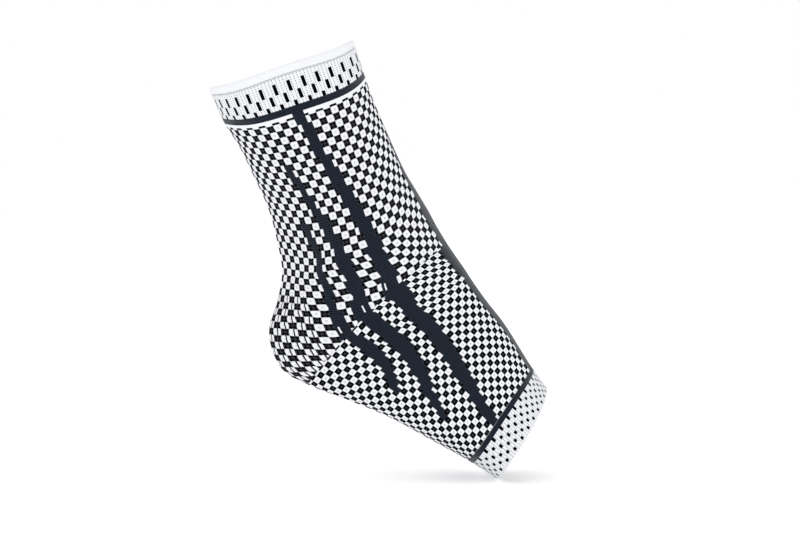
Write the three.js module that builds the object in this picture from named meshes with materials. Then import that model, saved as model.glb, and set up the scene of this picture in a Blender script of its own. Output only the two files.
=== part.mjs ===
// A knitted ankle support for a right foot: one open-ended compression sleeve, in the form that it
// has when worn with the heel a little raised and the leg leaning back.
//
// Millimetres, +Z up, +X towards the toes, -Y on the outer (little-toe) side. The origin is the
// centre of the ankle joint, inside the hollow sleeve. The cloth is lofted through rings that stand
// across the leg, fan round the heel and end across the foot behind the toes.

import * as THREE from 'three';

// Where the calf ring and the toe ring stand, from the ankle's centre
const legHeight = 110.8;
const legLean = 29.4;
const footReach = 90.2;
const footDrop = 72.2;

// Girths, as the depth from front to back and the width from side to side
const calfDepth = 85.2;
const heelDepth = 120.7;
const ankleWidth = 72;
const footWidth = 83;

// The cuffs beyond the two rings, and the way that each of them runs
const calfCuffHeight = 22.4;
const calfCuffLean = 21;
const toeCuffLength = 17.2;
const toeCuffDip = 41.5;
const weltHeight = 5.2;

// How far the worn cloth has slid along the leg and foot at the sides, at each edge and cuff ring:
// towards the ankle from both ends
const calfEdgeSag = 4.5;
const calfRingSag = 7.8;
const toeRingDraw = 2.4;
const toeRingSlant = 1.8;
const toeEdgeDraw = 5.4;

// The cloth
const sleeveWall = 1.8;
const cuffWall = 1.9;
const weltWall = 2.6;
const hemRound = 0.7;
const seamGap = 0.3;

// Facets
const aroundSteps = 44;
const legSteps = 26;
const footSteps = 20;
const calfCuffSteps = 5;
const toeCuffSteps = 5;
const weltSteps = 3;

// Rows of values under named columns
function table(columns, rows) {
  return rows.map((row) => Object.fromEntries(columns.map((column, index) => [column, row[index]])));
}

// Rings from the calf cuff's edge down to the ankle. rise and lean place the ring's centre, as shares
// of legHeight and legLean; tilt is how far its front stands above its back, in degrees; depth and
// width are shares of calfDepth and ankleWidth. rearward moves the widest part towards the back,
// square fills out the corners, and ridge moves the front towards the inner side, as shares of width.
const legRings = table(
  ['name', 'rise', 'lean', 'tilt', 'depth', 'width', 'rearward', 'square', 'ridge'],
  [
    ['calf ring', 1.0, 1.0, 18.2, 1.0, 1.08, 0.03, 0.02, 0],
    ['below calf', 0.863, 0.749, 18, 0.959, 1.03, 0.01, 0.01, 0],
    ['shin', 0.69, 0.453, 16.4, 0.951, 0.975, -0.04, 0, 0],
    ['narrow of leg', 0.521, 0.167, 16.1, 0.957, 0.945, -0.11, 0, 0],
    ['above bones', 0.382, -0.03, 20.5, 1.01, 0.955, -0.17, 0, 0],
    ['ankle bones', 0.254, -0.187, 22.5, 1.084, 0.985, -0.19, 0, 0.01],
  ],
);

// Rings from the ankle round the heel and along the foot. reach and drop place the centre, as shares
// of footReach and footDrop; depth and width are shares of heelDepth and footWidth.
const footRings = table(
  ['name', 'reach', 'drop', 'tilt', 'depth', 'width', 'rearward', 'square', 'ridge'],
  [
    ['upper heel', 0.077, -0.201, 24, 0.852, 0.865, -0.14, 0.02, 0.01],
    ['heel back', 0.084, -0.008, 26.1, 0.963, 0.85, -0.06, 0.04, 0.02],
    ['heel base', 0.148, 0.181, 32.2, 1.0, 0.84, 0.04, 0.06, 0.03],
    ['heel front', 0.264, 0.299, 37.2, 0.941, 0.85, 0.12, 0.08, 0.05],
    ['rear arch', 0.415, 0.422, 42.7, 0.843, 0.87, 0.16, 0.1, 0.07],
    ['arch', 0.588, 0.566, 48.4, 0.746, 0.91, 0.18, 0.1, 0.08],
    ['front arch', 0.781, 0.749, 54.2, 0.666, 0.96, 0.18, 0.1, 0.08],
    ['toe ring', 1.0, 1.0, 56.4, 0.548, 1.0, 0.16, 0.1, 0.07],
  ],
);

// The two open edges, whose centres follow from the cuffs' own lengths
const [calfEdgeRing, toeEdgeRing] = table(
  ['name', 'tilt', 'depth', 'width', 'rearward', 'square', 'ridge'],
  [
    ['calf edge', 18.6, 1.027, 1.12, 0.04, 0.02, 0],
    ['toe edge', 60.8, 0.498, 1.03, 0.12, 0.1, 0.06],
  ],
);

// Soft rises and hollows. row counts rings from the calf edge, around is degrees from the front
// towards the outer side, rise is a share of ankleWidth, and rows and degrees are how far it spreads.
const reliefs = table(
  ['name', 'row', 'around', 'rise', 'rows', 'degrees'],
  [
    ['outer ankle bone', 6.7, 98, 0.05, 0.9, 22],
    ['inner ankle bone', 6.2, -92, 0.055, 0.9, 22],
    ['outer tendon hollow', 6.4, 146, -0.035, 1.3, 18],
    ['inner tendon hollow', 6.4, -146, -0.035, 1.3, 18],
    ['inner arch', 11.6, -150, -0.06, 1.4, 30],
    ['front crease', 8.1, 30, -0.016, 0.35, 26],
    ['front fold', 9.1, 34, 0.014, 0.35, 24],
  ],
);

const toRadians = THREE.MathUtils.degToRad;

function legRing(row) {
  return {
    ...row,
    x: -row.lean * legLean,
    z: row.rise * legHeight,
    depth: row.depth * calfDepth,
    width: row.width * ankleWidth,
  };
}

function footRing(row) {
  return {
    ...row,
    x: row.reach * footReach,
    z: -row.drop * footDrop,
    depth: row.depth * heelDepth,
    width: row.width * footWidth,
  };
}

function allRings() {
  const calfRing = legRing(legRings[0]);
  const toeRing = footRing(footRings[footRings.length - 1]);
  const lean = toRadians(calfCuffLean);
  const dip = toRadians(toeCuffDip);
  const calfEdge = {
    ...calfEdgeRing,
    x: calfRing.x - calfCuffHeight * Math.sin(lean),
    z: calfRing.z + calfCuffHeight * Math.cos(lean),
    depth: calfEdgeRing.depth * calfDepth,
    width: calfEdgeRing.width * ankleWidth,
  };
  const toeEdge = {
    ...toeEdgeRing,
    x: toeRing.x + toeCuffLength * Math.cos(dip),
    z: toeRing.z - toeCuffLength * Math.sin(dip),
    depth: toeEdgeRing.depth * heelDepth,
    width: toeEdgeRing.width * footWidth,
  };
  return [calfEdge, ...legRings.map(legRing), ...footRings.map(footRing), toeEdge];
}

const rings = allRings();
const calfEdgeRow = 0;
const calfRingRow = 1;
const toeRingRow = rings.length - 2;
const toeEdgeRow = rings.length - 1;
const slideRows = 3;

// The leg's knit, with its heel pocket, ends at a mitre that slants from the instep, in front, to the
// underside of the heel, and the foot's knit starts there. Both values count rings.
const mitreMiddleRow = 8.85;
const mitreSwing = 1.1;

function mitreRow(around) {
  return mitreMiddleRow - mitreSwing * Math.cos(around);
}

// A smooth curve through four values, at a share of the way from the second to the third
function smoothValue(before, from, to, after, share) {
  const slopeFrom = (to - before) / 2;
  const slopeTo = (after - from) / 2;
  const turn = 3 * (to - from) - 2 * slopeFrom - slopeTo;
  const ease = slopeFrom + slopeTo - 2 * (to - from);
  return from + share * (slopeFrom + share * (turn + share * ease));
}

// The ring at any row between the calf edge and the toe edge
function ringAt(row) {
  const last = rings.length - 1;
  const index = THREE.MathUtils.clamp(Math.floor(row), 0, last - 1);
  const four = [-1, 0, 1, 2].map((step) => rings[THREE.MathUtils.clamp(index + step, 0, last)]);
  const ring = {};
  for (const column of ['x', 'z', 'tilt', 'depth', 'width', 'rearward', 'square', 'ridge']) {
    ring[column] = smoothValue(...four.map((entry) => entry[column]), row - index);
  }
  return ring;
}

// How far apart two neighbouring rings' centres stand, after a row
function rowLength(row) {
  const index = THREE.MathUtils.clamp(Math.floor(row), 0, rings.length - 2);
  return Math.hypot(rings[index + 1].x - rings[index].x, rings[index + 1].z - rings[index].z);
}

// The length of a row about a ring between two others
function rowLengthAbout(row) {
  return (rowLength(row - 1) + rowLength(row)) / 2;
}

// The row of the bare leg or foot on which a row of the cloth lies. The slide fades within a few rows
// of each cuff ring.
function slidRow(row, around) {
  const side = 1 - Math.cos(around) ** 4;
  const under = (1 - Math.cos(around)) / 2;
  const calfEdge = (calfEdgeSag * side) / rowLength(calfEdgeRow);
  const calfRing = (calfRingSag * side) / rowLengthAbout(calfRingRow);
  const toeRing = (toeRingDraw * Math.sin(around) ** 2 + toeRingSlant * under) / rowLengthAbout(toeRingRow);
  const toeEdge = (toeEdgeDraw * side * under) / rowLength(toeRingRow);
  if (row < calfRingRow) {
    return row + THREE.MathUtils.lerp(calfEdge, calfRing, row);
  }
  if (row > toeRingRow) {
    return row - THREE.MathUtils.lerp(toeRing, toeEdge, row - toeRingRow);
  }
  const calfFade = Math.max(1 - (row - calfRingRow) / slideRows, 0);
  const toeFade = Math.max(1 - (toeRingRow - row) / slideRows, 0);
  return row + calfRing * calfFade - toeRing * toeFade;
}

function plainPoint(row, around) {
  const ring = ringAt(row);
  const tilt = toRadians(ring.tilt);
  const front = Math.cos(around);
  const side = Math.sin(around);
  const toFront = front * (1 + ring.square * side * side) * (ring.depth / 2);
  const toSide = side * (1 + ring.square * front * front) * (1 - ring.rearward * front) * (ring.width / 2);
  const inward = (ring.ridge * ring.width * (1 + front)) / 2;
  return new THREE.Vector3(
    ring.x + toFront * Math.cos(tilt),
    inward - toSide,
    ring.z + toFront * Math.sin(tilt),
  );
}

function outwardNormal(row, around) {
  const step = 1e-3;
  const along = plainPoint(row + step, around).sub(plainPoint(row - step, around));
  const across = plainPoint(row, around + step).sub(plainPoint(row, around - step));
  return across.cross(along).normalize();
}

function reliefHeight(row, around) {
  let height = 0;
  for (const relief of reliefs) {
    const degrees = THREE.MathUtils.radToDeg(around) - relief.around;
    const turned = degrees - 360 * Math.round(degrees / 360);
    const far = ((row - relief.row) / relief.rows) ** 2 + (turned / relief.degrees) ** 2;
    height += relief.rise * ankleWidth * Math.exp(-far / 2);
  }
  return height;
}

// A point of the cloth: outside it at depth 0, and below its outer face at a depth in millimetres
function clothPoint(row, around, depth) {
  const bareRow = slidRow(row, around);
  const rise = reliefHeight(bareRow, around) - depth;
  return plainPoint(bareRow, around).addScaledVector(outwardNormal(bareRow, around), rise);
}

// The outline of the wall along the cloth, from the outer face over one end, down the inner face and
// back over the other end. A hem end is rounded, and a seam end is square. share runs from 0 to 1.
function wallOutline(steps, wall, hemAt) {
  const outer = [];
  const inner = [];
  for (let step = 0; step <= steps; step += 1) {
    const hemmed = (hemAt === 'start' && step === 0) || (hemAt === 'end' && step === steps);
    const round = hemmed ? hemRound : 0;
    outer.push({ share: step / steps, depth: round });
    inner.unshift({ share: step / steps, depth: wall - round });
  }
  return [...outer, ...inner];
}

// A closed ring of cloth: the outline, carried round the leg or foot between two border rows, each of
// which may change with the way round
function clothBand(outline, startRow, endRow) {
  const positions = [];
  const faces = [];
  for (const { share, depth } of outline) {
    for (let turn = 0; turn < aroundSteps; turn += 1) {
      const around = (2 * Math.PI * turn) / aroundSteps;
      const row = THREE.MathUtils.lerp(startRow(around), endRow(around), share);
      positions.push(...clothPoint(row, around, depth).toArray());
    }
  }
  outline.forEach((entry, line) => {
    const here = line * aroundSteps;
    const next = ((line + 1) % outline.length) * aroundSteps;
    for (let turn = 0; turn < aroundSteps; turn += 1) {
      const other = (turn + 1) % aroundSteps;
      faces.push(here + turn, here + other, next + other);
      faces.push(here + turn, next + other, next + turn);
    }
  });
  const geometry = new THREE.BufferGeometry();
  geometry.setAttribute('position', new THREE.Float32BufferAttribute(positions, 3));
  geometry.setIndex(faces);
  geometry.computeVertexNormals();
  return geometry;
}

function knit(color) {
  return new THREE.MeshStandardMaterial({ color, roughness: 0.9, metalness: 0, flatShading: true });
}

const whiteYarn = knit(0xf2f2f5);
const mixedYarn = knit(0x8a8c92);
const dottedYarn = knit(0xc6c8ce);

const support = new THREE.Group();

// Half of the seam gap on this side of a border row, and on the side above it
function belowBorder(row) {
  return row + seamGap / 2 / rowLength(row);
}

function aboveBorder(row) {
  return row - seamGap / 2 / rowLength(row);
}

function addBand({ name, startRow, endRow, steps, wall, material, hemAt }) {
  const band = new THREE.Mesh(clothBand(wallOutline(steps, wall, hemAt), startRow, endRow), material);
  band.name = name;
  support.add(band);
}

const weltRow = calfEdgeRow + (calfRingRow - calfEdgeRow) * (weltHeight / calfCuffHeight);

addBand({
  name: 'top_welt',
  startRow: () => calfEdgeRow,
  endRow: () => aboveBorder(weltRow),
  steps: weltSteps,
  wall: weltWall,
  material: whiteYarn,
  hemAt: 'start',
});
addBand({
  name: 'calf_cuff',
  startRow: () => belowBorder(weltRow),
  endRow: () => aboveBorder(calfRingRow),
  steps: calfCuffSteps,
  wall: cuffWall,
  material: dottedYarn,
});
addBand({
  name: 'leg_sleeve',
  startRow: () => belowBorder(calfRingRow),
  endRow: (around) => aboveBorder(mitreRow(around)),
  steps: legSteps,
  wall: sleeveWall,
  material: mixedYarn,
});
addBand({
  name: 'foot_sleeve',
  startRow: (around) => belowBorder(mitreRow(around)),
  endRow: () => aboveBorder(toeRingRow),
  steps: footSteps,
  wall: sleeveWall,
  material: mixedYarn,
});
addBand({
  name: 'toe_cuff',
  startRow: () => belowBorder(toeRingRow),
  endRow: () => toeEdgeRow,
  steps: toeCuffSteps,
  wall: cuffWall,
  material: dottedYarn,
  hemAt: 'end',
});

export default support;
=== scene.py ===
# %% [markdown]
# # A knitted ankle support
#
# This lesson dresses a plain solid model of a knitted ankle support as the real cloth. The support is
# one elastic tube, knitted round and round: a white hem, a cuff with short dark dashes, a checked leg
# and foot with navy bands, and a dotted cuff at the far end.
#
# A picture wrapped round the tube would be one way to show the pattern. Here each knitted cell gets
# faces of its own instead, as each stitch on the machine gets a yarn, so the pattern follows the
# cloth round the heel, keeps its relief, and is there from every side.

import bpy
import numpy as np
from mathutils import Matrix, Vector


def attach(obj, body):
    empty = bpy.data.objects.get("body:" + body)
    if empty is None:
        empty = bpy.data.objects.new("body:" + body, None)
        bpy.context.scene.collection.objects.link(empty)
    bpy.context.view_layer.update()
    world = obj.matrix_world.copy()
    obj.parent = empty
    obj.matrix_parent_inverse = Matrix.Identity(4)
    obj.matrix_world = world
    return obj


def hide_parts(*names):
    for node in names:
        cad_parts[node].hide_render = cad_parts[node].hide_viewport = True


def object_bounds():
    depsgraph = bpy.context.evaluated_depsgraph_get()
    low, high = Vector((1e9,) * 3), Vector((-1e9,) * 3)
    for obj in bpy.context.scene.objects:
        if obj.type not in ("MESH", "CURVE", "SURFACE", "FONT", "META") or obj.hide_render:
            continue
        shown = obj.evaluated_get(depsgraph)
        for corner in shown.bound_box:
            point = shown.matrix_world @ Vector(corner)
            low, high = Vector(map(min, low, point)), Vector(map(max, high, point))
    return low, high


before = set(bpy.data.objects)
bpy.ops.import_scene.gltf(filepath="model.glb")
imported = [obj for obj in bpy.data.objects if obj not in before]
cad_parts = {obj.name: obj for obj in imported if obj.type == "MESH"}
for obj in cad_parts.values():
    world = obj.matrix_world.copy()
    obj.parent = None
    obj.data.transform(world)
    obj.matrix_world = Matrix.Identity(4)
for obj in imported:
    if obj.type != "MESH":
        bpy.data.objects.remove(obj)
cad_box = [list(corner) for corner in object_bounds()]
print("solid model's corners, in metres:", cad_box)

# %% [markdown]
# ## Camera
#
# The photograph is taken from the support's outer side, almost level, with a long lens. The camera
# looks straight at that side from 1.6 m, and a shift of the lens puts the object where it is in the
# picture. Turning the camera would do that too, but it would also turn the view of the object.

# %% The camera, 3 degrees above the ankle
camera_azimuth = np.radians(-2.0)
camera_height = np.radians(3.0)
camera_distance = 1.6  # metres
sensor_width = 36.0  # millimetres
picture_width_at_ankle = 0.464  # metres
picture_width_px = 800
shift_right_px, shift_up_px = 55, 23.5

forward = Vector((
    -np.sin(camera_azimuth) * np.cos(camera_height),
    np.cos(camera_azimuth) * np.cos(camera_height),
    -np.sin(camera_height),
))
camera_data = bpy.data.cameras.new("camera")
camera_data.sensor_width = sensor_width
camera_data.lens = sensor_width * camera_distance / picture_width_at_ankle
camera_data.shift_x = shift_right_px / picture_width_px
camera_data.shift_y = shift_up_px / picture_width_px
camera = bpy.data.objects.new("camera", camera_data)
camera.location = -camera_distance * forward
camera.rotation_mode = "QUATERNION"
camera.rotation_quaternion = forward.to_track_quat("-Z", "Y")
bpy.context.scene.collection.objects.link(camera)
bpy.context.scene.camera = camera
print("lens", round(camera_data.lens, 1), "mm")

# %% [markdown]
# ## The worn form
#
# An empty tube of cloth has no shape of its own, and this one is shaped as when it is worn. So the
# form is lofted through rings that stand across the leg and the foot of the tube. Sculpting would give
# the same curves, but rings with sizes are easy to check against the solid model, which uses the same.
#
# Each row of a table is one ring: the place of its centre, its tilt in degrees (front above back), its
# depth from front to back and its width. Places and girths are shares of the named sizes.

# %% Sizes in millimetres
LEG_HEIGHT, LEG_LEAN, FOOT_REACH, FOOT_DROP = 110.8, 29.4, 90.2, 72.2
CALF_DEPTH, HEEL_DEPTH, ANKLE_WIDTH, FOOT_WIDTH = 85.2, 120.7, 72.0, 83.0
CALF_CUFF_HEIGHT, CALF_CUFF_LEAN = 22.4, np.radians(21.0)
TOE_CUFF_LENGTH, TOE_CUFF_DIP = 17.2, np.radians(41.5)
SLEEVE_WALL, CUFF_WALL, WELT_WALL = 1.8, 1.9, 2.6
print("leg", LEG_HEIGHT, "mm high and foot", FOOT_REACH, "mm forward of the ankle")

# %% Rings across the leg and foot, from the calf ring to the toe ring
RING_COLUMNS = ("x", "z", "tilt", "depth", "width", "rearward", "square", "ridge")
LEG_RINGS = [  # rise, lean, tilt, depth, width, rearward, square, ridge
    (1.0, 1.0, 18.2, 1.0, 1.08, 0.03, 0.02, 0),
    (0.863, 0.749, 18, 0.959, 1.03, 0.01, 0.01, 0),
    (0.69, 0.453, 16.4, 0.951, 0.975, -0.04, 0, 0),
    (0.521, 0.167, 16.1, 0.957, 0.945, -0.11, 0, 0),
    (0.382, -0.03, 20.5, 1.01, 0.955, -0.17, 0, 0),
    (0.254, -0.187, 22.5, 1.084, 0.985, -0.19, 0, 0.01),
]
FOOT_RINGS = [  # reach, drop, tilt, depth, width, rearward, square, ridge
    (0.077, -0.201, 24, 0.852, 0.865, -0.14, 0.02, 0.01),
    (0.084, -0.008, 26.1, 0.963, 0.85, -0.06, 0.04, 0.02),
    (0.148, 0.181, 32.2, 1.0, 0.84, 0.04, 0.06, 0.03),
    (0.264, 0.299, 37.2, 0.941, 0.85, 0.12, 0.08, 0.05),
    (0.415, 0.422, 42.7, 0.843, 0.87, 0.16, 0.1, 0.07),
    (0.588, 0.566, 48.4, 0.746, 0.91, 0.18, 0.1, 0.08),
    (0.781, 0.749, 54.2, 0.666, 0.96, 0.18, 0.1, 0.08),
    (1.0, 1.0, 56.4, 0.548, 1.0, 0.16, 0.1, 0.07),
]


def leg_ring(rise, lean, tilt, depth, width, *rest):
    return (-lean * LEG_LEAN, rise * LEG_HEIGHT, tilt, depth * CALF_DEPTH, width * ANKLE_WIDTH, *rest)


def foot_ring(reach, drop, tilt, depth, width, *rest):
    return (reach * FOOT_REACH, -drop * FOOT_DROP, tilt, depth * HEEL_DEPTH, width * FOOT_WIDTH, *rest)


leg_and_foot = [*(leg_ring(*row) for row in LEG_RINGS), *(foot_ring(*row) for row in FOOT_RINGS)]
print(len(LEG_RINGS), "leg rings and", len(FOOT_RINGS), "foot rings")

# %% The two open edges, one cuff beyond the first and last ring
CALF_EDGE = (18.6, 1.027, 1.12, 0.04, 0.02, 0)  # tilt, depth, width, rearward, square, ridge
TOE_EDGE = (60.8, 0.498, 1.03, 0.12, 0.1, 0.06)


def calf_edge_ring(tilt, depth, width, *rest):
    x = leg_and_foot[0][0] - CALF_CUFF_HEIGHT * np.sin(CALF_CUFF_LEAN)
    z = leg_and_foot[0][1] + CALF_CUFF_HEIGHT * np.cos(CALF_CUFF_LEAN)
    return (x, z, tilt, depth * CALF_DEPTH, width * ANKLE_WIDTH, *rest)


def toe_edge_ring(tilt, depth, width, *rest):
    x = leg_and_foot[-1][0] + TOE_CUFF_LENGTH * np.cos(TOE_CUFF_DIP)
    z = leg_and_foot[-1][1] - TOE_CUFF_LENGTH * np.sin(TOE_CUFF_DIP)
    return (x, z, tilt, depth * HEEL_DEPTH, width * FOOT_WIDTH, *rest)


RINGS = np.array([calf_edge_ring(*CALF_EDGE), *leg_and_foot, toe_edge_ring(*TOE_EDGE)], float)
RING_GAPS = np.hypot(*np.diff(RINGS[:, :2], axis=0).T)
LAST_ROW = len(RINGS) - 1
CALF_ROW, TOE_ROW = 1, LAST_ROW - 1
print(len(RINGS), "rings of", len(RING_COLUMNS), "values;", round(RING_GAPS.sum()), "mm along the middle")

# %% [markdown]
# Between two rings a smooth curve through their neighbours gives every value, so any row between 0 at
# the calf edge and 15 at the toe edge has a ring. Blender's own curves could be skinned instead, but
# a function can be asked for any point, and every stitch will need one.

# %% A ring at any row, and a point on it
FINE_STEP = 1e-3


def ring_at(row):
    index = np.clip(np.floor(row).astype(int), 0, LAST_ROW - 1)
    share = (row - index)[..., None]
    before, start, end, after = (RINGS[np.clip(index + k, 0, LAST_ROW)] for k in (-1, 0, 1, 2))
    slope_start, slope_end = (end - before) / 2, (after - start) / 2
    turn = 3 * (end - start) - 2 * slope_start - slope_end
    ease = slope_start + slope_end - 2 * (end - start)
    return start + share * (slope_start + share * (turn + share * ease))


def bare_point(row, around):
    x, z, tilt, depth, width, rearward, square, ridge = np.moveaxis(ring_at(row), -1, 0)
    front, side = np.cos(around), np.sin(around)
    to_front = front * (1 + square * side**2) * depth / 2
    to_side = side * (1 + square * front**2) * (1 - rearward * front) * width / 2
    inward = ridge * width * (1 + front) / 2
    tilt = np.radians(tilt)
    return np.stack([x + to_front * np.cos(tilt), inward - to_side, z + to_front * np.sin(tilt)], -1)


def outward(row, around):
    along = bare_point(row + FINE_STEP, around) - bare_point(row - FINE_STEP, around)
    across = bare_point(row, around + FINE_STEP) - bare_point(row, around - FINE_STEP)
    normal = np.cross(across, along)
    return normal / np.linalg.norm(normal, axis=-1, keepdims=True)


print("front of the calf ring", np.round(bare_point(np.array(1.0), np.array(0.0)), 1), "mm")

# %% [markdown]
# The real cloth has slid a little towards the ankle at the sides, near both ends, which bends the
# edges and the two navy rings. It also bulges softly on each side of the ankle, sinks in behind each
# bulge and at the arch, and has a crease in front. More rings could give these, but each would have to
# be changed all the way round. Small soft rises and hollows along the outward direction change one
# place at a time.

# %% How far the cloth has slid
CALF_EDGE_SAG, CALF_EDGE_DROP, CALF_RING_SAG = 4.5, 2.0, 7.8
TOE_RING_DRAW, TOE_RING_SLANT, TOE_EDGE_DRAW = 2.4, 1.8, 5.4
SLIDE_ROWS = 3


def slid_row(row, around):
    row, around = np.broadcast_arrays(np.asarray(row, float), around)
    side = 1 - np.cos(around) ** 4
    under = (1 - np.cos(around)) / 2
    calf_edge = (CALF_EDGE_SAG * side + CALF_EDGE_DROP * np.cos(around) ** 2) / RING_GAPS[0]
    calf_ring = CALF_RING_SAG * side / RING_GAPS[0:2].mean()
    toe_ring = (TOE_RING_DRAW * np.sin(around) ** 2 + TOE_RING_SLANT * under) / RING_GAPS[-2:].mean()
    toe_edge = TOE_EDGE_DRAW * side * under / RING_GAPS[-1]
    down = np.where(
        row < CALF_ROW,
        calf_edge + (calf_ring - calf_edge) * row,
        calf_ring * np.clip(1 - (row - CALF_ROW) / SLIDE_ROWS, 0, 1),
    )
    back = np.where(
        row > TOE_ROW,
        toe_ring + (toe_edge - toe_ring) * (row - TOE_ROW),
        toe_ring * np.clip(1 - (TOE_ROW - row) / SLIDE_ROWS, 0, 1),
    )
    return row + down - back


print("the side of the calf ring lies at row", round(float(slid_row(1.0, np.pi / 2)), 2))

# %% Any point of the cloth, from its row and its angle round the tube
RELIEFS = [  # row, degrees round, rise as a share of ankle width, rows spread, degrees spread
    (6.7, 98, 0.05, 0.9, 22),
    (6.2, -92, 0.055, 0.9, 22),
    (6.4, 146, -0.035, 1.3, 18),
    (6.4, -146, -0.035, 1.3, 18),
    (11.6, -150, -0.06, 1.4, 30),
    (8.1, 42, -0.016, 0.35, 18),
    (9.1, 44, 0.014, 0.35, 18),
]


def soft_relief(row, around):
    height = np.zeros(np.shape(row))
    for at_row, at_degrees, rise, rows, degrees in RELIEFS:
        turned = np.degrees(around) - at_degrees
        turned = turned - 360 * np.round(turned / 360)
        far = ((row - at_row) / rows) ** 2 + (turned / degrees) ** 2
        height = height + rise * ANKLE_WIDTH * np.exp(-far / 2)
    return height


def cloth_point(row, around, height=0.0):
    bare_row = slid_row(row, around)
    rise = soft_relief(bare_row, around) + height
    return bare_point(bare_row, around) + outward(bare_row, around) * rise[..., None]


print("front of the calf edge", np.round(cloth_point(np.array(0.0), np.array(0.0)), 1), "mm")

# %% [markdown]
# ## Wales and courses
#
# Knitting has two directions. A wale is a column of stitches that runs along the tube, and a course is
# a row of stitches that runs round it. The leg has 60 cells round it and the foot 66.
#
# A wale isn't always the same distance from its neighbour: the cloth stretches more over the heel and
# under it. So the wales are spread by a weighted length round each ring, and a low weight there makes
# wide cells. Even spreading would be simpler, but the cells would then miss their places at the heel.
#
# The weights are given at a few rows for the sole and for the front. An edge says how close to the
# middle of the sole or of the front a weight takes over, as a cosine, and a blend says how softly.

# %% How the wales of each zone are spread: rows, then weights or turned wales at those rows
LEG_WALES, FOOT_WALES = 60, 66
STEPS_PER_CELL = 6
LEG_SPREAD = {
    "sole": ([4, 6.5, 8, 9.3], [1, 1.24, 0.6, 0.6]), "sole_edge": 0.77, "sole_blend": 0.12,
    "front": ([4, 8, 10.5, 14], [1, 1.2, 0.7, 0.8]),
    "turn": ([1, 6, 9], [0.8, -1.7, 2.4]),
}
FOOT_SPREAD = {
    "sole": ([8, 9, 10, 11, 12.5, 14], [1.4, 0.45, 0.45, 0.53, 0.71, 0.83]),
    "sole_edge": 0.76, "sole_blend": 0.10,
    "front": ([7.5, 10, 14], [1.1, 0.7, 0.85]),
    "turn": ([7.5, 10.5, 14], [-4, 0.9, -0.2]),
}
CALF_SPREAD = {
    "sole": ([0, 1], [1, 1]), "sole_edge": 0.77, "sole_blend": 0.12,
    "front": ([0, 1], [0.82, 0.82]), "turn": ([0, 1], [0.1, 0.1]),
}
TOE_SPREAD = {
    "sole": ([0, 1], [0.55, 0.55]), "sole_edge": 0.3, "sole_blend": 0.35,
    "front": ([0, 1], [0.85, 0.85]), "turn": ([0, 1], [0, 0]),
}
print("faces round the leg:", LEG_WALES * STEPS_PER_CELL, "and round the foot:", FOOT_WALES * STEPS_PER_CELL)

# %% [markdown]
# The wales also turn a little round the leg on their way down. On the inner side the turn is taken up
# under the wide navy band along the front, where no check shows it, so that the bands of both sides
# mirror each other.

# %% Wales counted from the front, for any row and angle
FRONT_BAND_EDGE = np.radians(34)
FRONT_EDGE, FRONT_BLEND = 0.55, 0.15


def turned_wales(spread, row, around, as_outer=False):
    turned = np.interp(row, *spread["turn"]) * (1 + np.cos(around)) / 2
    if as_outer:
        return turned
    from_front = np.abs(around - 2 * np.pi * np.round(around / (2 * np.pi)))
    ease = np.clip(1 - from_front / FRONT_BAND_EDGE, 0, 1)
    return np.where(np.sin(around) < 0, turned * ease, turned)


def counted_wales(spread, wales, rows, circle):
    grid_rows, grid_angles = np.meshgrid(rows, circle, indexing="ij")
    length = np.linalg.norm(np.diff(cloth_point(grid_rows, grid_angles), axis=1), axis=2)
    front = np.cos((circle[1:] + circle[:-1]) / 2)[None, :]
    under = 1 / (1 + np.exp((front + spread["sole_edge"]) / spread["sole_blend"]))
    ahead = 1 / (1 + np.exp(-(front - FRONT_EDGE) / FRONT_BLEND))
    weight = (
        1
        - (1 - np.interp(rows, *spread["sole"])[:, None]) * under
        - (1 - np.interp(rows, *spread["front"])[:, None]) * ahead
    )
    count = np.concatenate([np.zeros((len(rows), 1)), np.cumsum(length * weight, axis=1)], axis=1)
    count *= wales / count[:, -1:]
    return count + turned_wales(spread, grid_rows, grid_angles)


print("turn at the front of the ankle:", turned_wales(LEG_SPREAD, 6, 0.0), "cells")

# %% Where each wale runs, row by row
ROW_STEP = 0.04
RING_STEPS = 480


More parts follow.
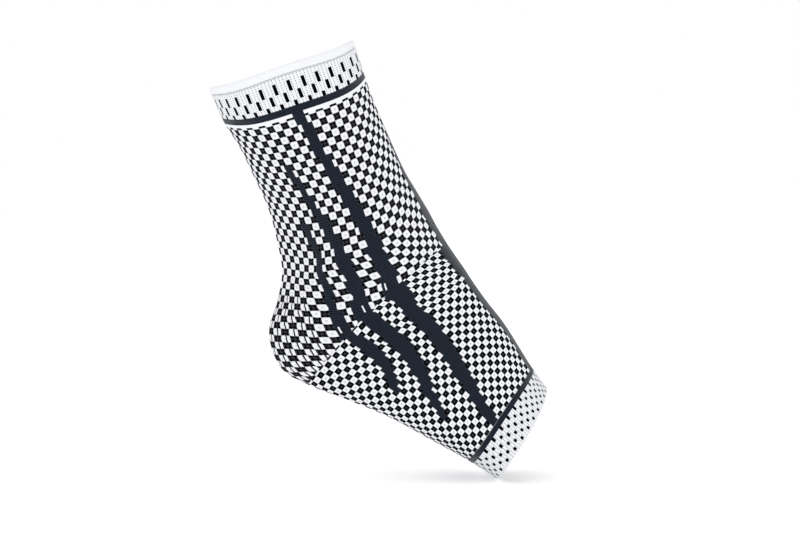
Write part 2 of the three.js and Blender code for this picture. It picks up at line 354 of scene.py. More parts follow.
class Wales:
    """The wales of one zone: their angle and the length along them, on a fine grid of rows."""

    def __init__(self, first_row, last_row, wales, steps_round, spread):
        self.spread = spread
        self.count = wales
        self.wale = np.arange(steps_round) * wales / steps_round
        self.face_wale = self.wale + wales / steps_round / 2
        self.rows = np.arange(first_row, last_row + ROW_STEP / 2, ROW_STEP)
        circle = np.linspace(0, 2 * np.pi, RING_STEPS + 1)
        three_turns = np.concatenate([circle[:-1] - 2 * np.pi, circle[:-1], circle + 2 * np.pi])
        self.around = np.array([
            np.interp(self.wale, np.concatenate([row[:-1] - wales, row[:-1], row + wales]), three_turns)
            for row in counted_wales(spread, wales, self.rows, circle)
        ])
        place = cloth_point(np.repeat(self.rows[:, None], steps_round, 1), self.around)
        step = np.linalg.norm(np.diff(place, axis=0), axis=2)
        self.length = np.concatenate([np.zeros((1, steps_round)), np.cumsum(step, axis=0)])

    def row_of(self, line):
        """Where each wale crosses a line that is given as a row for each angle."""
        past = self.rows[:, None] - line(self.around)
        return np.array([np.interp(0, past[:, k], self.rows) for k in range(len(self.wale))])

    def length_at(self, row_of_wale):
        """Length along each wale down to a row of its own."""
        return np.array([
            np.interp(row_of_wale[k], self.rows, self.length[:, k]) for k in range(len(self.wale))
        ])

    def at_length(self, lengths):
        """Row and angle where each wale has each length; lengths has one column for each wale."""
        row = np.empty(lengths.shape)
        around = np.empty(lengths.shape)
        for k in range(len(self.wale)):
            row[:, k] = np.interp(lengths[:, k], self.length[:, k], self.rows)
            around[:, k] = np.interp(row[:, k], self.rows, self.around[:, k])
        return row, around

    def sides(self, row, around):
        """Signed wales, and for the inner side the sum of a wale and the one opposite to it."""
        signed = np.where(self.face_wale < self.count / 2, self.face_wale, self.face_wale - self.count)
        opposite = turned_wales(self.spread, row, around, as_outer=True)
        mirror = turned_wales(self.spread, row, around) + opposite
        return signed, np.where(np.sin(around) < 0, mirror, np.nan)


LEG_LAST_ROW, FOOT_FIRST_ROW = 10.2, 7.5
leg_wales = Wales(CALF_ROW, LEG_LAST_ROW, LEG_WALES, LEG_WALES * STEPS_PER_CELL, LEG_SPREAD)
foot_wales = Wales(FOOT_FIRST_ROW, TOE_ROW, FOOT_WALES, FOOT_WALES * STEPS_PER_CELL, FOOT_SPREAD)
print("rows followed:", len(leg_wales.rows), "on the leg and", len(foot_wales.rows), "on the foot")

# %% [markdown]
# ## Yarns
#
# The charts below are drawn as for a knitting machine: one letter for each small face, and six by six
# faces for each cell. The leg's black cells have a grey stitch in the middle and a grey notch in each
# side. The foot's have the grey stitch too, and grey corners, where the white cells nearly meet. The
# white cells' light grey middles are partly a grey stitch and partly painted shade in the small dimple
# there, and the light grey corners of the leg's and the heel's white cells are painted shade where the
# puffed cells dip. A checker texture would be quicker, but it knows nothing of single stitches.

# %% The charts of one cell
YARNS = "wbnglism"  # white, black, navy, dark grey, light grey, inside, speck, middle grey
WHITE, BLACK, NAVY, LIGHT_GREY_SEAM_SHADE, INSIDE, SPECK = (YARNS.index(letter) for letter in "wbnlis")
LEG_BLACK = ["bbmmbb", "bbbbbb", "mbggbm", "mbggbm", "bbbbbb", "bbmmbb"]
# In the white charts, the 'l' corners are painted shade where the puffed cells dip, and the 'll' middle is a
# light grey stitch with painted shade of its dimple.
LEG_WHITE = ["lwwwwl", "wwwwww", "wwllww", "wwllww", "wwwwww", "lwwwwl"]
FOOT_BLACK = ["mbbbbm", "bbbbbb", "bbggbb", "bbggbb", "bbbbbb", "mbbbbm"]
FOOT_WHITE = ["wwwwww", "wwwwww", "wwllww", "wwllww", "wwwwww", "wwwwww"]
HEEL_WHITE = ["lwbwwl", "wwbwww", "wwblww", "wwblww", "wwbwww", "lwbwwl"]


def chart(rows):
    return np.array([[YARNS.index(letter) for letter in row] for row in rows])


print("cells charted", chart(LEG_BLACK).shape, "faces each, in", len(YARNS), "yarns")

# %% [markdown]
# Navy bands run down both sides and along the front, where they stiffen the knit. Their edges are
# given at a few courses, as the wale nearest to the front and the wale nearest to the heel, and step
# by half a cell between them, as knitted edges do. Smooth strips laid on the cloth would be easier to
# draw, but they would look sewn on. The inner side has the same bands, mirrored.

# %% The leg's bands, as course, front wale and rear wale
ACROSS = -9  # a wale past the front, so that the front band goes right across
LEG_BANDS = {
    "front": [
        (0, ACROSS, 1.0), (8, ACROSS, 1.4), (12, ACROSS, 2.0), (20, ACROSS, 2.5), (25, ACROSS, 3.1),
        (28, ACROSS, 4.0), (45, ACROSS, 4.4),
    ],
    "long": [
        (0, 14.8, 16.3), (5, 14.7, 16.2), (8, 14, 15.6), (11, 13.5, 15.4), (14, 13, 15), (16, 12.6, 14.4),
        (18, 12, 14), (20, 11.7, 13.6), (22, 11.7, 13.8), (24, 12.2, 14.2), (27, 12.8, 15), (45, 13.3, 15.6),
    ],
    "middle": [
        (7.2, 20, 21), (10, 19.6, 20.8), (13, 19, 20.4), (15, 18.4, 19.8), (17, 17.6, 19.3), (19, 17, 19),
        (21, 16.2, 17.8), (23, 16.2, 17.8), (25, 16.5, 18.2), (28, 17, 18.8), (45, 17.2, 19.2),
    ],
    "rear": [
        (15.9, 21.3, 22.5), (18, 20.8, 22.2), (20, 20.3, 21.3), (22.5, 19.9, 20.8), (25, 20, 21),
        (28, 20.3, 21.3), (31, 20.2, 21.4), (45, 20.3, 21.8),
    ],
}
print("the leg's bands:", ", ".join(LEG_BANDS))

# %% The foot's bands
FOOT_BANDS = {
    "front": [
        (0, ACROSS, 0.7), (2, ACROSS, 1.8), (5, ACROSS, 2.7), (8, ACROSS, 3.5), (10, ACROSS, 3.8),
        (15, ACROSS, 3.8), (20, ACROSS, 3.9), (25, ACROSS, 4.2), (30, ACROSS, 4.4),
    ],
    "long": [
        (0, 8.9, 13.1), (3, 9.9, 13.1), (6, 10.8, 13.6), (9, 11.7, 14.3), (12, 12.2, 15), (15, 12.8, 15.7),
        (18, 13.7, 16.6), (21, 14.7, 17.2), (24, 15.6, 17.9), (27, 16.5, 18.3), (30, 16.8, 18.4),
    ],
    "middle": [
        (0, 15.8, 18.3), (3, 15.9, 18.3), (6, 16, 19), (9, 17, 19.5), (12, 17.8, 20.7), (14, 18.7, 21.3),
        (16, 19.6, 22.3), (18, 21, 22.7), (20, 21.6, 23.3), (22.3, 22.8, 23.8),
    ],
    "rear": [
        (0, 20.3, 22.1), (4, 20.1, 22.1), (6, 20.3, 22.5), (8, 21, 23.2), (10, 22.3, 23.8),
        (11.5, 22.7, 24.7), (13, 24, 25),
    ],
}
print("the foot's bands:", ", ".join(FOOT_BANDS))

# %% Which half cells the bands cover


def in_bands(bands, course, wale, mirror):
    """wale is 0 along the front, positive on the outer side and negative on the inner one.

    A wale on the inner side lies opposite mirror - wale, and mirror is nan on the outer side.
    """
    inner = ~np.isnan(mirror)
    covered = np.zeros(wale.shape, bool)
    for edges in bands.values():
        courses, front, rear = np.array(edges, float).T
        if courses[0] <= course <= courses[-1]:
            low, high = np.interp(course, courses, front), np.interp(course, courses, rear)
            start = np.round(2 * np.where(inner, mirror - high, low)) / 2
            end = np.round(2 * np.where(inner, mirror - low, high)) / 2
            covered |= (wale > start) & (wale < end)
    return covered


half_cells = np.arange(0.25, 30, 0.5)
on_course = in_bands(LEG_BANDS, 18, half_cells, np.full(len(half_cells), np.nan))
print("half cells under bands on course 18 of the leg's outer side:", int(on_course.sum()))

# %% A check with bands over it
LEG_SHIFT, FOOT_SHIFT = (1, 3), (2, 3)  # faces along and round, from the ring to the first cell


def check_yarns(zone, row, around, black, white, bands, shift):
    """A grid of yarn numbers for the faces between the given rows and angles of a zone's wales."""
    rows_up, columns = len(row) - 1, row.shape[1]
    grid = np.empty((rows_up, columns), int)
    cell_x, in_x = np.divmod(np.arange(columns) - shift[1], STEPS_PER_CELL)
    dark, pale = chart(black), chart(white)
    for line in range(rows_up):
        cell_y, in_y = divmod(line - shift[0], STEPS_PER_CELL)
        is_dark = (cell_x + cell_y) % 2 == 0
        grid[line] = np.where(is_dark, dark[in_y, in_x], pale[in_y, in_x])
        middle = np.clip(line - in_y + STEPS_PER_CELL // 2, 0, rows_up)
        signed, mirror = zone.sides(row[middle], around[middle])
        grid[line, in_bands(bands, middle / STEPS_PER_CELL, signed, mirror)] = NAVY
    return grid


def foot_yarns(row, around):
    return check_yarns(foot_wales, row, around, FOOT_BLACK, FOOT_WHITE, FOOT_BANDS, FOOT_SHIFT)


print("the check starts", LEG_SHIFT[0], "face below the calf ring")

# %% [markdown]
# Each side band has a small white slit just above the mitre, the slanting line where the leg's courses
# end and the foot's begin. The heel's white cells are stretched so far that a dark line opens in the
# middle of each one. Holes in the mesh would let the inside show, so both are drawn with yarns too.

# %% The leg's check, with the heel, the strip under the ring and the slits
SLITS = [(14.58, 27.9), (17.75, 29.9), (21.08, 32.2)]  # wale and course
SLIT_SIZE = (0.1, 0.5)
HEEL_FROM = (23.5, 27.0)  # wale and course
WHITE_STRIP = 4


def leg_yarns(row, around):
    grid, heel = (
        check_yarns(leg_wales, row, around, LEG_BLACK, white, LEG_BANDS, LEG_SHIFT)
        for white in (LEG_WHITE, HEEL_WHITE)
    )
    wale = leg_wales.face_wale
    folded = np.minimum(wale, LEG_WALES - wale)[None, :]
    course = ((np.arange(len(grid)) + 0.5) / STEPS_PER_CELL)[:, None]
    grid = np.where((folded > HEEL_FROM[0]) & (course > HEEL_FROM[1]), heel, grid)
    strip = grid[LEG_SHIFT[0] : LEG_SHIFT[0] + WHITE_STRIP]
    strip[strip != NAVY] = WHITE
    grid[: LEG_SHIFT[0] + 1] = NAVY
    for at_wale, at_course in SLITS:
        near = ((folded - at_wale) / SLIT_SIZE[0]) ** 2 + ((course - at_course) / SLIT_SIZE[1]) ** 2
        grid = np.where((near < 1) & (grid == NAVY), WHITE, grid)
    return grid


print(len(SLITS), "slits on each side")

# %% [markdown]
# ## Relief
#
# Each yarn stands at its own height: white cells puff up, black ones lie low, and the navy bands have
# fine ribs across them, three in each cell. A displacement in the material could do this too, but
# real heights hold in every tool that reads the mesh.

# %% Heights from yarns, in millimetres
YARN_HEIGHT = {"w": 0.36, "b": 0.02, "n": 0.10, "g": 0.0, "l": 0.20, "i": 0.0, "s": 0.20, "m": 0.15}
RIB_HEIGHT = 0.14


def relief_of(grid):
    """Height of each crossing of the grid's lines: the mean of the four faces that meet there."""
    height = np.array([YARN_HEIGHT[letter] for letter in YARNS])[grid]
    ribs = (np.arange(len(grid)) % 2)[:, None] * RIB_HEIGHT
    height = height + np.where(grid == NAVY, ribs, 0)
    height = np.vstack([height[:1], height, height[-1:]])
    rows = (height[1:] + height[:-1]) / 2
    return (rows + np.roll(rows, 1, axis=1)) / 2


print("one black cell's relief:", relief_of(chart(LEG_BLACK)).min(), "to", relief_of(chart(LEG_BLACK)).max())

# %% [markdown]
# ## Turning lines of points into cloth
#
# Every piece is a stack of closed lines round the tube: down the outer face, over the edge, and back
# up the inner face. Neighbouring lines are joined by faces. A solidify modifier could thicken one
# sheet, but the inner face needs no check, so it is made coarser and lighter here.
#
# Where the leg's courses run out, their points fall together, and the faces between them are left out.
# The numbers go into the mesh as whole lists, because adding 80,000 faces one by one is slow.

# %% The faces of a stack, and their coordinates on the knit
MM = 0.001


def stack_corners(count, around, merged):
    """Point numbers at the corners of the faces after each line; the last line joins the first."""
    index = np.arange(count * around).reshape(count, around)
    if merged is not None:
        index = np.take_along_axis(index, merged, axis=0)
    after = np.roll(index, -1, axis=0)
    corners = [index, np.roll(index, -1, axis=1), np.roll(after, -1, axis=1), after]
    return np.stack(corners, -1).reshape(-1, 4)


def stack_uv(around, v):
    """Coordinates at the same corners: u goes once round, v from the start to the end of each line."""
    u = np.arange(around + 1) / around
    uv = np.empty((len(v), around, 4, 2))
    uv[..., 0] = np.stack([u[:-1], u[1:], u[1:], u[:-1]], -1)[None]
    uv[..., 0:2, 1] = v[:, 0][:, None, None]
    uv[..., 2:4, 1] = v[:, 1][:, None, None]
    return uv.reshape(-1, 4, 2)


print("a stack of 3 lines of 4 points has", len(stack_corners(3, 4, None)), "faces")

# %% A piece of cloth from a stack


def make_cloth(name, lines, yarns, knit_v, bake_v, merged=None):
    """lines is (count, round, 3) in mm, yarns (count, round) for the faces after each line."""
    count, around = lines.shape[:2]
    corners = stack_corners(count, around, merged)
    repeated = corners == np.roll(corners, 1, axis=1)
    keep = repeated.sum(axis=1) < 2
    loops = ~repeated[keep]
    used, corners = np.unique(corners[keep], return_inverse=True)
    corners = corners.reshape(-1, 4)[loops]
    starts = np.concatenate([[0], np.cumsum(loops.sum(axis=1))[:-1]])
    mesh = bpy.data.meshes.new(name)
    mesh.vertices.add(len(used))
    mesh.vertices.foreach_set("co", (lines.reshape(-1, 3)[used] * MM).astype(np.float32).ravel())
    mesh.loops.add(len(corners))
    mesh.loops.foreach_set("vertex_index", corners.astype(np.int32))
    mesh.polygons.add(len(starts))
    mesh.polygons.foreach_set("loop_start", starts.astype(np.int32))
    mesh.polygons.foreach_set("material_index", yarns.reshape(-1)[keep].astype(np.int32))
    mesh.update(calc_edges=True)
    for layer, v in (("OFBake", bake_v), ("knit", knit_v)):
        uv = stack_uv(around, v)[keep][loops]
        mesh.uv_layers.new(name=layer).uv.foreach_set("vector", uv.astype(np.float32).ravel())
    mesh.shade_smooth()
    mesh.validate()
    piece = bpy.data.objects.new(name, mesh)
    bpy.context.scene.collection.objects.link(piece)
    print(name, len(mesh.polygons), "faces,", 2 * len(mesh.polygons), "triangles at most")
    return piece


print("a millimetre is", MM, "of Blender's metres")

# %% [markdown]
# A piece has two sets of coordinates. "knit" counts cells along the tube, so that stitches come out
# alike on every piece. "OFBake" lays the whole piece in one square, outer face first, for tools that
# bake. One set could do both if every piece were as long as the next, but the cuffs are short.

# %% Outer and inner lines in one closed stack
BAKE_OUTER_END = 0.86
BAKE_INNER = (0.87, 0.99)


def from_to(values):
    return np.stack([values[:-1], values[1:]], -1)


def stacked(outer, inner, outer_yarns, outer_v, edges):
    """edges names the yarns of the first and the last edge, between the outer and inner lines."""
    lines = np.concatenate([outer, inner])
    yarns = np.full(lines.shape[:2], INSIDE)
    yarns[: len(outer_yarns)] = outer_yarns
    yarns[-1], yarns[len(outer_yarns)] = edges
    rest = len(lines) - len(outer_yarns)
    low, high = outer_v.min(), outer_v.max()
    outer_bake = (outer_v - low) / (high - low) * BAKE_OUTER_END
    knit_v = np.concatenate([from_to(outer_v), from_to(high + np.arange(rest + 1))])
    bake_v = np.concatenate([from_to(outer_bake), from_to(np.linspace(*BAKE_INNER, rest + 1))])
    return lines, yarns, knit_v, bake_v


print("outer faces take", BAKE_OUTER_END, "of the square's height")

# %% [markdown]
# ## The leg, with its heel pocket
#
# The leg's courses are about 4 mm high, and a little less at the front. At the back there are 43 of
# them down to the heel's underside, and at the front only 30: they end one after the other at a
# slanting line, the mitre, as in the heel of a sock. One straight tube bent at the ankle would be
# simpler, but it would bunch up its courses in front, and the real ones don't.
#
# The end of the leg is tucked a little under the foot, as no two edges with different stitches meet
# without slits.

# %% The line of the mitre, and the leg's courses down to it
MITRE_MIDDLE_ROW, MITRE_SWING = 8.85, 1.1
COURSE_HEIGHT, FRONT_COURSE_HEIGHT, BACK_COURSE_HEIGHT = 4.1, 3.68, 3.95


def mitre_row(around):
    return MITRE_MIDDLE_ROW - MITRE_SWING * np.cos(around)


leg_end = leg_wales.length_at(leg_wales.row_of(mitre_row))
facing = np.cos(leg_wales.wale / LEG_WALES * 2 * np.pi)
end_height = np.where(facing > 0, FRONT_COURSE_HEIGHT, BACK_COURSE_HEIGHT)
leg_step = (COURSE_HEIGHT + (end_height - COURSE_HEIGHT) * facing**2) / STEPS_PER_CELL
leg_lines = int(np.ceil((leg_end / leg_step).max()))
print("the leg's wales are", leg_end.min().round(), "to", leg_end.max().round(), "mm long")

# %% The leg's cloth
INNER_STEPS = 36
TUCK_LENGTH, TUCK_DEPTH = 0.6, 0.35
ROUNDING = 1e-6


def merged_lines(stack_lines):
    """The line that each point is taken from: past the mitre, a wale's last line again."""
    last = np.ceil(leg_end / leg_step - ROUNDING).astype(int)
    merged = np.repeat(np.arange(stack_lines)[:, None], len(last), axis=1)
    merged[: leg_lines + 1] = np.minimum(merged[: leg_lines + 1], last)
    return merged


def leg_cloth():
    length = np.arange(leg_lines + 1)[:, None] * leg_step
    row, around = leg_wales.at_length(np.minimum(length, leg_end))
    yarns = leg_yarns(row, around)
    outer = cloth_point(row, around, relief_of(yarns))
    tucked = leg_wales.at_length(leg_end[None, :] + TUCK_LENGTH)
    outer = np.concatenate([outer, cloth_point(*tucked, -TUCK_DEPTH)])
    yarns = np.vstack([yarns, np.full((1, len(leg_end)), NAVY)])
    inner_length = np.linspace(1, 0, INNER_STEPS + 1)[:, None] * leg_end
    inner = cloth_point(*leg_wales.at_length(inner_length), -SLEEVE_WALL)
    outer_v = np.arange(leg_lines + 2) / STEPS_PER_CELL
    stack = stacked(outer, inner, yarns, outer_v, (NAVY, NAVY))
    return make_cloth("leg_knit", *stack, merged_lines(len(stack[0])))


leg_knit = leg_cloth()

# %% [markdown]
# ## The foot
#
# The foot's knit starts at the mitre and is turned towards the toe cuff. All of its wales have the same
# 30 courses up to the toe ring, so a course is a little higher where the way to the ring is longer.
# Courses of one height that run out at the ring, as the leg's do at the mitre, would be another way,
# but the real ones don't run out there. The stack is a plain grid.

# %% The foot's cloth
FOOT_COURSES = 30


def foot_cloth():
    start = foot_wales.length_at(foot_wales.row_of(mitre_row))
    to_ring = foot_wales.length[-1] - start
    lines = FOOT_COURSES * STEPS_PER_CELL
    row, around = foot_wales.at_length(start + np.arange(lines + 1)[:, None] / lines * to_ring)
    yarns = foot_yarns(row, around)
    outer = cloth_point(row, around, relief_of(yarns))
    inner_share = np.linspace(1, 0, INNER_STEPS + 1)[:, None]
    inner = cloth_point(*foot_wales.at_length(start + inner_share * to_ring), -SLEEVE_WALL)
    outer_v = np.arange(lines + 1) / STEPS_PER_CELL
    return make_cloth("foot_knit", *stacked(outer, inner, yarns, outer_v, (NAVY, NAVY)))


foot_knit = foot_cloth()

# %% [markdown]
# ## The two cuffs
#
# The calf cuff is white with fine grey specks, two staggered lines of black dashes, and a line of short
# teeth that stand on the navy ring. The toe cuff is the same idea, turned round: the ring, teeth, then
# five staggered lines of dots. Both have 30 repeats round them, so a loop over a short list of lines
# draws them, and no chart of the whole cuff is needed.

# %% The cuffs' yarns
REPEATS, STEPS_PER_REPEAT = 30, 16
CUFF_COLUMNS = REPEATS * STEPS_PER_REPEAT
MARK_WIDTH, SPECK_EVERY = 4, 4
CALF_CUFF_ROWS, TOE_CUFF_ROWS = 30, 40
CALF_RING_ROWS, TOE_RING_ROWS = (26, 30), (0, 6)
CALF_MARKS = [(5, 14, 0), (14, 22, 8), (22, 26, 0)]  # first row, last row, columns along
TOE_MARKS = [(6, 11, 0), (12, 16, 8), (17, 22, 0), (23, 27, 8), (28, 32, 0), (33, 37, 8)]


def cuff_yarns(rows_up, marks, ring_rows):
    grid = np.full((rows_up, CUFF_COLUMNS), WHITE)
    grid[1::2, SPECK_EVERY // 2 :: SPECK_EVERY] = SPECK
    for first, last, along in marks:
        marked = (np.arange(CUFF_COLUMNS) - along) % STEPS_PER_REPEAT < MARK_WIDTH
        grid[first:last, marked] = BLACK
    grid[ring_rows[0] : ring_rows[1]] = NAVY
    return grid


calf_yarns = cuff_yarns(CALF_CUFF_ROWS, CALF_MARKS, CALF_RING_ROWS)
# Painted shade: the light grey first row of the calf cuff stands for the shade in the seam groove under the
# hem.
calf_yarns[0] = LIGHT_GREY_SEAM_SHADE  # the seam under the hem
toe_yarns = cuff_yarns(TOE_CUFF_ROWS, TOE_MARKS, TOE_RING_ROWS)
print("calf cuff", calf_yarns.shape, "and toe cuff", toe_yarns.shape, "faces")

# %% The cuffs' cloth, from the hem to the calf ring and from the toe ring to the toe edge
EDGE_ROUND = 0.7
HEM_HEIGHT_AT_SIDES, HEM_HEIGHT_AT_ENDS = 4.2, 5.5
CUFF_INNER_LINES = 13
ROWS_PER_CELL = 3


def hem_row(around):
    ends = np.cos(around) ** 2
    return (HEM_HEIGHT_AT_SIDES + (HEM_HEIGHT_AT_ENDS - HEM_HEIGHT_AT_SIDES) * ends) / CALF_CUFF_HEIGHT


def cuff_cloth(name, wales, start, yarns, edges, soft_edge=False):
    to_end = wales.length[-1] - start
    lines = len(yarns)
    relief = relief_of(yarns)
    depth = np.full((CUFF_INNER_LINES, CUFF_COLUMNS), CUFF_WALL)
    if soft_edge:
        relief[-1] -= EDGE_ROUND
        relief[-2] -= EDGE_ROUND / 4
        depth[0] -= EDGE_ROUND
    outer = cloth_point(*wales.at_length(start + np.arange(lines + 1)[:, None] / lines * to_end), relief)
    inner_share = np.linspace(1, 0, CUFF_INNER_LINES)[:, None]
    inner = cloth_point(*wales.at_length(start + inner_share * to_end), -depth)
    return make_cloth(name, *stacked(outer, inner, yarns, np.arange(lines + 1) / ROWS_PER_CELL, edges))


calf_wales = Wales(0, CALF_ROW, REPEATS, CUFF_COLUMNS, CALF_SPREAD)
toe_wales = Wales(TOE_ROW, LAST_ROW, REPEATS, CUFF_COLUMNS, TOE_SPREAD)
hem_end = calf_wales.length_at(calf_wales.row_of(hem_row))
calf_cuff_knit = cuff_cloth("calf_cuff_knit", calf_wales, hem_end, calf_yarns, (WHITE, NAVY))
toe_cuff_knit = cuff_cloth("toe_cuff_knit", toe_wales, 0, toe_yarns, (NAVY, WHITE), soft_edge=True)

# %% [markdown]
# ## The turned hem at the top
#
# The calf edge is knitted double and turned, so it is thicker, smooth and plain white. Its section is
# a rounded loop, swept round the edge like the lines of the other pieces. A bevel on the cuff's edge
# would be too thin for it. The fine grey line where it joins the cuff is painted shade, drawn on the
# cuff's first row.

# %% The hem's cloth
HEM_COLUMNS, HEM_LINES = 240, 24
HEM_ALONG_POWER, HEM_HEIGHT_POWER = 0.6, 0.7  # below 1, these make the loop's section boxier
HEM_RISE = 0.35


def hem_cloth():
    wales = Wales(0, CALF_ROW, REPEATS, HEM_COLUMNS, CALF_SPREAD)
    end = wales.length_at(wales.row_of(hem_row))
    turn = np.linspace(0, 2 * np.pi, HEM_LINES + 1)[:-1]
    along = 0.5 - 0.5 * np.sign(np.cos(turn)) * np.abs(np.cos(turn)) ** HEM_ALONG_POWER
    height = np.sign(np.sin(turn)) * np.abs(np.sin(turn)) ** HEM_HEIGHT_POWER * WELT_WALL / 2
    height = height - WELT_WALL / 2 + HEM_RISE
    row, around = wales.at_length(along[:, None] * end)
    lines = cloth_point(row, around, height[:, None] + np.zeros((1, HEM_COLUMNS)))
    yarns = np.full((HEM_LINES, HEM_COLUMNS), WHITE)
    v = from_to(np.arange(HEM_LINES + 1))
    return make_cloth("hem_knit", lines, yarns, v / ROWS_PER_CELL, v / HEM_LINES)


hem_knit = hem_cloth()

# %% [markdown]
# ## Yarn materials
#
# All the yarns share one fine relief: the small V of each stitch. It is a node group with the knit's
# own coordinates as input, so the stitches run along the wales everywhere. Modelling each stitch would
# need millions of faces for a form that is little more than a millimetre wide. The nodes could be
# placed by hand in the editor, but a few helpers wire them the same way each time.

# %% Node helpers


def link(tree, source, target):
    tree.links.new(source, target)


def math_node(tree, operation, first, second=None, third=None):
    node = tree.nodes.new("ShaderNodeMath")
    node.operation = operation
    for socket, value in zip(node.inputs, (first, second, third)):
        if value is None:
            continue
        if isinstance(value, (int, float)):
            socket.default_value = value
        else:
            link(tree, value, socket)
    return node.outputs[0]


def new_group(name, inputs, outputs):
    tree = bpy.data.node_groups.new(name, "ShaderNodeTree")
    for label, kind, value in inputs:
        socket = tree.interface.new_socket(label, in_out="INPUT", socket_type=kind)
        if value is not None:
            socket.default_value = value
    for label, kind in outputs:
        tree.interface.new_socket(label, in_out="OUTPUT", socket_type=kind)
    return tree, tree.nodes.new("NodeGroupInput").outputs, tree.nodes.new("NodeGroupOutput").inputs


FLOAT, VECTOR, COLOR = "NodeSocketFloat", "NodeSocketVector", "NodeSocketColor"
print("node helpers ready for", FLOAT, VECTOR, COLOR)

# %% The stitch group
STITCHES_PER_CELL = 3
STITCH_FULLNESS = 0.4  # below 1, a stitch is broad with narrow gaps between it and the next


def stitch_group():
    tree, given, result = new_group(
        "stitches",
        [("Knit", VECTOR, None), ("Across", FLOAT, 180.0), ("Along", FLOAT, float(STITCHES_PER_CELL))],
        [("Height", FLOAT)],
    )
    split = tree.nodes.new("ShaderNodeSeparateXYZ")
    link(tree, given["Knit"], split.inputs[0])
    across = math_node(tree, "FRACT", math_node(tree, "MULTIPLY", split.outputs[0], given["Across"]))
    from_middle = math_node(tree, "ABSOLUTE", math_node(tree, "SUBTRACT", across, 0.5))
    along = math_node(tree, "MULTIPLY", split.outputs[1], given["Along"])
    phase = math_node(tree, "FRACT", math_node(tree, "ADD", along, from_middle))
    leg = math_node(tree, "SINE", math_node(tree, "MULTIPLY", phase, np.pi))
    width = math_node(tree, "SINE", math_node(tree, "MULTIPLY", from_middle, 2 * np.pi))
    thick = math_node(tree, "POWER", math_node(tree, "MAXIMUM", width, 0.0), STITCH_FULLNESS)
    link(tree, math_node(tree, "MULTIPLY", leg, thick), result["Height"])
    return tree


stitches = stitch_group()
print(stitches.name, "has", len(stitches.nodes), "nodes")

# %% [markdown]
# The navy bands are ribbed: light catches the top of each rib, and the grooves between stay almost
# black. The ribs' relief is in the mesh, and this group gives a mask that paints a highlight on each
# rib and painted shade in the grooves between. Spun yarn is also never one even shade, so a slow and
# fine mottle goes over every colour.

# %% The rib group and the mottle group
MOTTLE_SCALE, MOTTLE_DETAIL = 900, 3


def rib_group():
    """A mask for painted light: 1 for the painted highlight on a rib, 0 for the painted shade between two.
    """
    tree, given, result = new_group(
        "band_rib_highlights", [("Knit", VECTOR, None), ("Along", FLOAT, float(STITCHES_PER_CELL))], [("Rib", FLOAT)]
    )
    split = tree.nodes.new("ShaderNodeSeparateXYZ")
    link(tree, given["Knit"], split.inputs[0])
    turn = math_node(tree, "MULTIPLY", math_node(tree, "MULTIPLY", split.outputs[1], given["Along"]), np.pi)
    link(tree, math_node(tree, "POWER", math_node(tree, "SINE", turn), 2.0), result["Rib"])
    return tree


def mottle_group():
    tree, given, result = new_group(
        "yarn_mottle", [("Color", COLOR, (1, 1, 1, 1)), ("Amount", FLOAT, 0.1)], [("Color", COLOR)]
    )
    place = tree.nodes.new("ShaderNodeTexCoord")
    noise = tree.nodes.new("ShaderNodeTexNoise")
    noise.inputs["Scale"].default_value = MOTTLE_SCALE
    noise.inputs["Detail"].default_value = MOTTLE_DETAIL
    link(tree, place.outputs["Object"], noise.inputs["Vector"])
    centred = math_node(tree, "SUBTRACT", noise.outputs["Fac"], 0.5)
    shade = math_node(tree, "MULTIPLY_ADD", centred, given["Amount"], 1.0)
    scale = tree.nodes.new("ShaderNodeVectorMath")
    scale.operation = "SCALE"
    link(tree, given["Color"], scale.inputs[0])
    link(tree, shade, scale.inputs["Scale"])
    link(tree, scale.outputs[0], result["Color"])
    return tree


ribs, mottle = rib_group(), mottle_group()
print("groups:", stitches.name, ribs.name, mottle.name)

# %% [markdown]
# Yarn is matt, so roughness is high and there is hardly any gloss. A little sheen stands for the fine
# fibres that catch light where the cloth turns away, which is why the navy band along the front looks
# grey there. A velvet shader would do it too, but sheen is part of the main shader and exports well.

# %% One yarn's material
STITCH_DEPTH = 0.0003
SHEEN_ROUGHNESS = 0.4


def add_group(tree, group):
    node = tree.nodes.new("ShaderNodeGroup")
    node.node_tree = group
    return node


def add_stitches(tree, knit, surface, across, strength):
    stitch = add_group(tree, stitches)
    stitch.inputs["Across"].default_value = across
    link(tree, knit.outputs["UV"], stitch.inputs["Knit"])
    relief = tree.nodes.new("ShaderNodeBump")
    relief.inputs["Strength"].default_value = strength
    relief.inputs["Distance"].default_value = STITCH_DEPTH
    link(tree, stitch.outputs["Height"], relief.inputs["Height"])
    link(tree, relief.outputs["Normal"], surface.inputs["Normal"])


# Paints the rib tops lighter as a painted highlight and the grooves darker as painted shade.
def add_painted_rib_light(tree, knit, shade, groove_shade_color, rib_highlight_color):
    rib = add_group(tree, ribs)
    link(tree, knit.outputs["UV"], rib.inputs["Knit"])
    mix = tree.nodes.new("ShaderNodeMix")
    mix.data_type = "RGBA"
    mix.inputs["A"].default_value = (*groove_shade_color, 1)
    mix.inputs["B"].default_value = (*rib_highlight_color, 1)
    link(tree, rib.outputs["Rib"], mix.inputs["Factor"])
    link(tree, mix.outputs["Result"], shade.inputs["Color"])


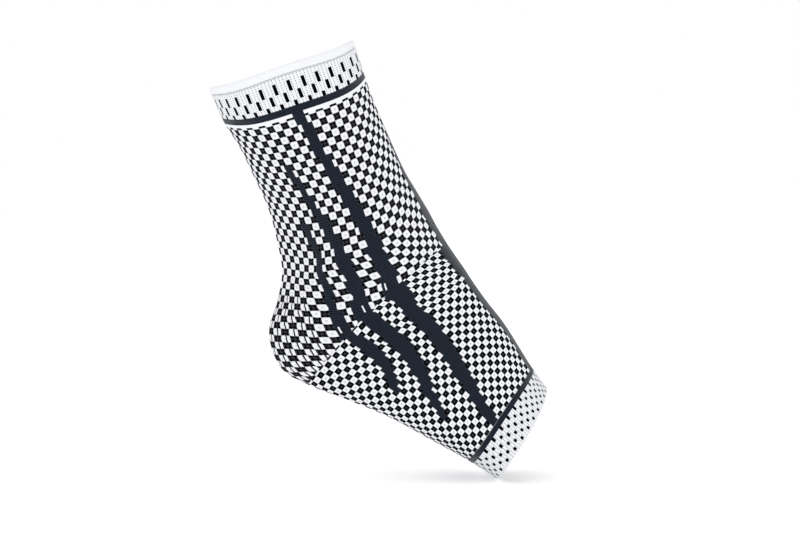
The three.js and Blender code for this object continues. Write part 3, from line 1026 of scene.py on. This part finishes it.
def yarn_material(name, across, color, mottled, roughness, specular, sheen, bump, rib_highlight_color=None):
    material = bpy.data.materials.new(name)
    material.use_nodes = True
    tree = material.node_tree
    surface = tree.nodes["Principled BSDF"]
    surface.inputs["Roughness"].default_value = roughness
    surface.inputs["Specular IOR Level"].default_value = specular
    surface.inputs["Sheen Weight"].default_value = sheen
    surface.inputs["Sheen Roughness"].default_value = SHEEN_ROUGHNESS
    shade = add_group(tree, mottle)
    shade.inputs["Color"].default_value = (*color, 1)
    shade.inputs["Amount"].default_value = mottled
    link(tree, shade.outputs["Color"], surface.inputs["Base Color"])
    knit = tree.nodes.new("ShaderNodeUVMap")
    knit.uv_map = "knit"
    add_stitches(tree, knit, surface, across, bump)
    if rib_highlight_color:
        add_painted_rib_light(tree, knit, shade, color, rib_highlight_color)
    return material


print("stitches stand", round(STITCH_DEPTH / MM, 2), "mm high")

# %% The yarns' looks, in the order of their letters
# The last column, on the navy yarn only, is the painted highlight colour of the rib tops; the navy colour
# then serves as painted shade in the grooves.
YARN_LOOKS = {  # colour, mottle, roughness, specular, sheen, bump, colour of the ribs
    "white_yarn": ((0.80, 0.81, 0.84), 0.10, 0.9, 0.2, 0.1, 0.35),
    "black_yarn": ((0.0012, 0.0016, 0.0024), 0.5, 0.9, 0.0, 0.0, 0.3),
    "navy_yarn": ((0.002, 0.004, 0.008), 0.6, 0.8, 0.10, 0.32, 0.5, (0.014, 0.021, 0.036)),
    "dark_grey_yarn": ((0.03, 0.03, 0.034), 0.3, 0.9, 0.1, 0.0, 0.3),
    # The light grey yarn is partly painted shade: at the white cells' corners, in part at their middles, and
    # along the seam under the hem.
    "light_grey_yarn_and_painted_shade": ((0.60, 0.61, 0.65), 0.2, 0.9, 0.2, 0.1, 0.35),
    "inner_yarn": ((0.45, 0.46, 0.50), 0.5, 0.9, 0.2, 0.1, 0.6),
    "speck_yarn": ((0.24, 0.25, 0.28), 0.3, 0.9, 0.2, 0.1, 0.35),
    "middle_grey_yarn": ((0.045, 0.045, 0.05), 0.3, 0.9, 0.1, 0.0, 0.3),
}
CUFF_STITCHES = CUFF_COLUMNS // 2
PIECES = {  # solid node, slot, stitches round
    leg_knit: ("leg_sleeve", "checked_knit", STITCHES_PER_CELL * LEG_WALES),
    foot_knit: ("foot_sleeve", "checked_knit", STITCHES_PER_CELL * FOOT_WALES),
    calf_cuff_knit: ("calf_cuff", "dashed_cuff", CUFF_STITCHES),
    toe_cuff_knit: ("toe_cuff", "dotted_cuff", CUFF_STITCHES),
    hem_knit: ("top_welt", "white_hem", CUFF_STITCHES),
}
materials = {}
for piece, (_, _, across) in PIECES.items():
    looks = ["white_yarn"] if piece is hem_knit else list(YARN_LOOKS)
    for look in looks:
        name = f"{look}_{across}"
        if name not in materials:
            materials[name] = yarn_material(name, across, *YARN_LOOKS[look])
        piece.data.materials.append(materials[name])
print(len(materials), "materials")

# %% [markdown]
# ## Joining the pieces to the model
#
# Every cloth piece stands for one solid node and rides on the model's only body. Nothing on an ankle
# support moves by itself, so there is no joint to follow. One joined mesh could stand for all five
# nodes, but a piece for each keeps the zones apart, so that any of them can be changed alone.

# %% Rides and replaced nodes
for piece, (node, slot, _) in PIECES.items():
    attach(piece, "root")
    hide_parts(node)
    print(piece.name, "stands for", node)

# %% [markdown]
# ## Studio
#
# The photograph has a pure white ground and very soft light from all round, with a little more from
# the front. A white floor and a white world give that, and two large lamps shape the cloth. The floor
# glows a little, because a floor lit by the world alone would show a grey horizon.

# %% The floor
FLOOR_GAP = 0.5 * MM
FLOOR_CORNERS = [(-4, -4, 0), (4, -4, 0), (4, 6, 0), (-4, 6, 0)]  # metres

floor_level = min(corner[2] for corner in cad_box) - FLOOR_GAP
floor_mesh = bpy.data.meshes.new("floor")
floor_mesh.from_pydata(FLOOR_CORNERS, [], [(0, 1, 2, 3)])
floor = bpy.data.objects.new("floor", floor_mesh)
floor.location.z = floor_level
bpy.context.scene.collection.objects.link(floor)
floor_material = bpy.data.materials.new("white_floor")
floor_material.use_nodes = True
floor_surface = floor_material.node_tree.nodes["Principled BSDF"]
floor_surface.inputs["Base Color"].default_value = (0.9, 0.9, 0.9, 1)
floor_surface.inputs["Roughness"].default_value = 1.0
floor_surface.inputs["Specular IOR Level"].default_value = 0.0
floor_surface.inputs["Emission Color"].default_value = (1, 1, 1, 1)
floor_surface.inputs["Emission Strength"].default_value = 0.3
floor_mesh.materials.append(floor_material)
print("floor at", round(floor_level, 4), "m")

# %% The world and the lamps
world = bpy.data.worlds.new("white_studio")
world.use_nodes = True
world.node_tree.nodes["Background"].inputs["Color"].default_value = (1, 1, 1, 1)
world.node_tree.nodes["Background"].inputs["Strength"].default_value = 1.0
bpy.context.scene.world = world
bpy.context.scene.view_settings.view_transform = "Standard"


def add_lamp(name, place, size, watts):
    data = bpy.data.lights.new(name, "AREA")
    data.size = size
    data.energy = watts
    lamp = bpy.data.objects.new(name, data)
    bpy.context.scene.collection.objects.link(lamp)
    lamp.location = place
    lamp.rotation_mode = "QUATERNION"
    lamp.rotation_quaternion = (-Vector(place)).to_track_quat("-Z", "Y")
    return lamp


lamps = [  # name, place and size in metres, watts
    add_lamp("front_lamp", (-0.6, -1.8, 1.2), 1.2, 4),
    add_lamp("side_lamp", (1.4, -1.0, 1.0), 1.2, 2),
]
print("lamps:", ", ".join(lamp.name for lamp in lamps))
